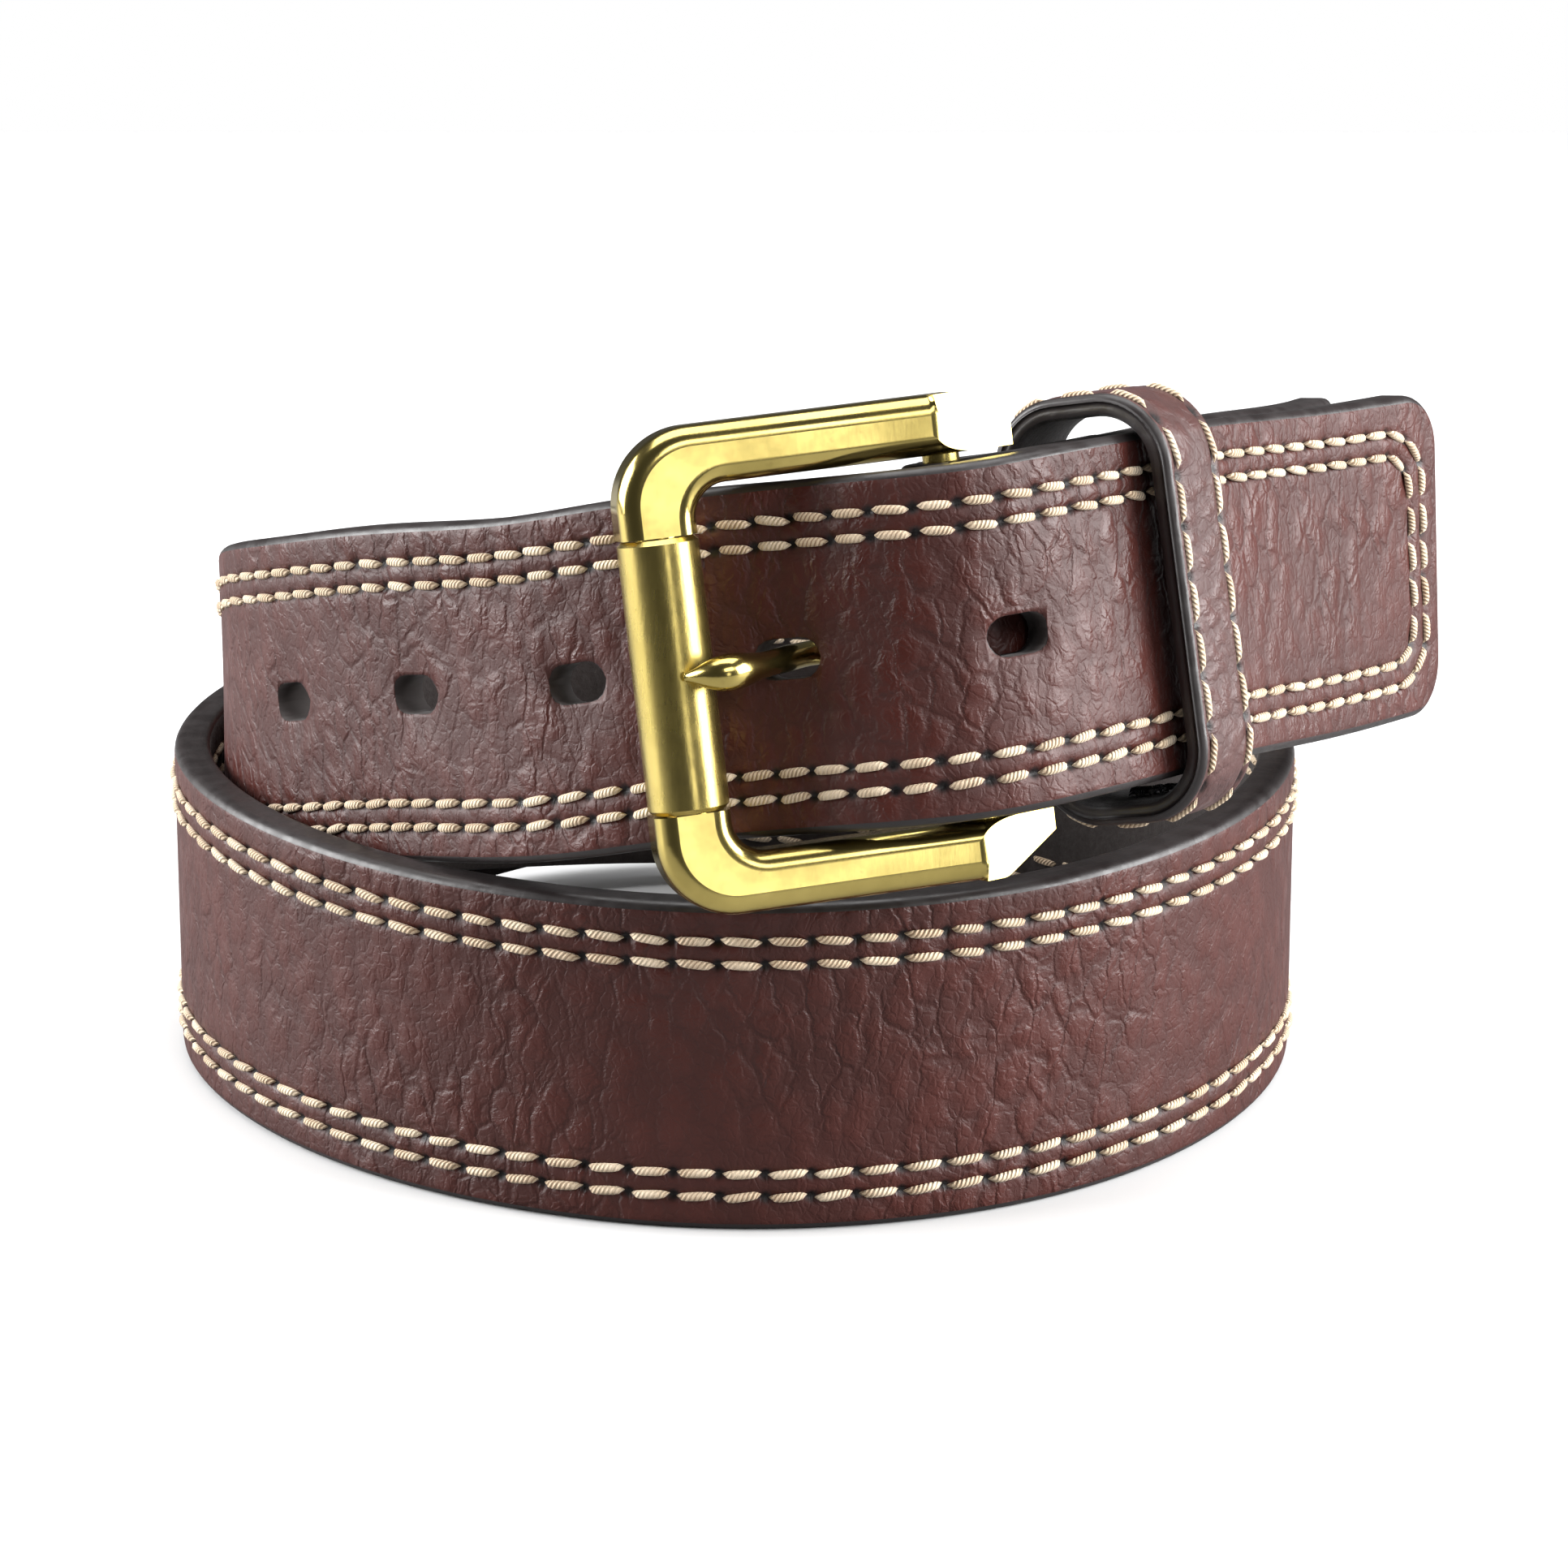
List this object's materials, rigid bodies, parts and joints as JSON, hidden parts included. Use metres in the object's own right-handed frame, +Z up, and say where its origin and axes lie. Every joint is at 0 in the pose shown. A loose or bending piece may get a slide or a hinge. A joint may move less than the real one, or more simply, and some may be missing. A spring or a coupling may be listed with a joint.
{
  "type": "buckled leather belt",
  "caption": "Stitched leather dress belt with a roller buckle, buckled and wound into a standing double coil, with its tip through a sewn keeper loop.",
  "frame": {"origin": "bottom centre of the bounding box, on the surface the coil stands on", "axes": "+Z up, the buckle faces -Y, its strap runs towards +X"},
  "size_m": [0.152, 0.1532, 0.0947],
  "materials": {
    "strap_leather": "dark reddish brown pebbled grain with soft sheen, black painted edges",
    "lining_leather": "smooth dark lining",
    "keeper_leather": "smooth purple-brown",
    "keeper_suede": "black suede",
    "cream_thread": "waxed twisted thread",
    "black_thread": "twisted thread",
    "brass": "polished and brushed, lightly tarnished"
  },
  "bodies": {
    "strap": {"strap_face": "strap_leather", "strap_lining": "lining_leather", "stitch_thread_outer_row": "cream_thread", "stitch_thread_inner_row": "cream_thread", "fold_screw_posts": "brass", "fold_screws": "brass"},
    "buckle": {"buckle_frame": "brass", "heel_bar": "brass"},
    "prong": {"prong": "brass"},
    "roller": {"roller": "brass"},
    "keeper": {"keeper_face": "keeper_leather", "keeper_lining": "keeper_suede", "keeper_stitch_thread": "cream_thread", "keeper_seam_thread": "black_thread"}
  },
  "joints": [
    {"name": "buckle_tilt", "type": "hinge", "parent": "strap", "child": "buckle", "pos_m": [0.01681, -0.06111, 0.06829], "axis": [-0.1153, 0.1865, 0.9757], "range_deg": [0, 3]},
    {"name": "prong_lift", "type": "hinge", "parent": "buckle", "child": "prong", "pos_m": [0.01681, -0.06111, 0.06829], "axis": [-0.1153, 0.1865, 0.9757], "range_deg": [0, 4]},
    {"name": "roller_spin", "type": "hinge", "parent": "buckle", "child": "roller", "pos_m": [-0.01406, -0.06928, 0.0662], "axis": [-0.1153, 0.1865, 0.9757], "continuous": true},
    {"name": "keeper_slide", "type": "slide", "parent": "strap", "child": "keeper", "axis": [0.5484, 0.8303, -0.0996], "range_m": [-0.003, 0.003]}
  ]
}
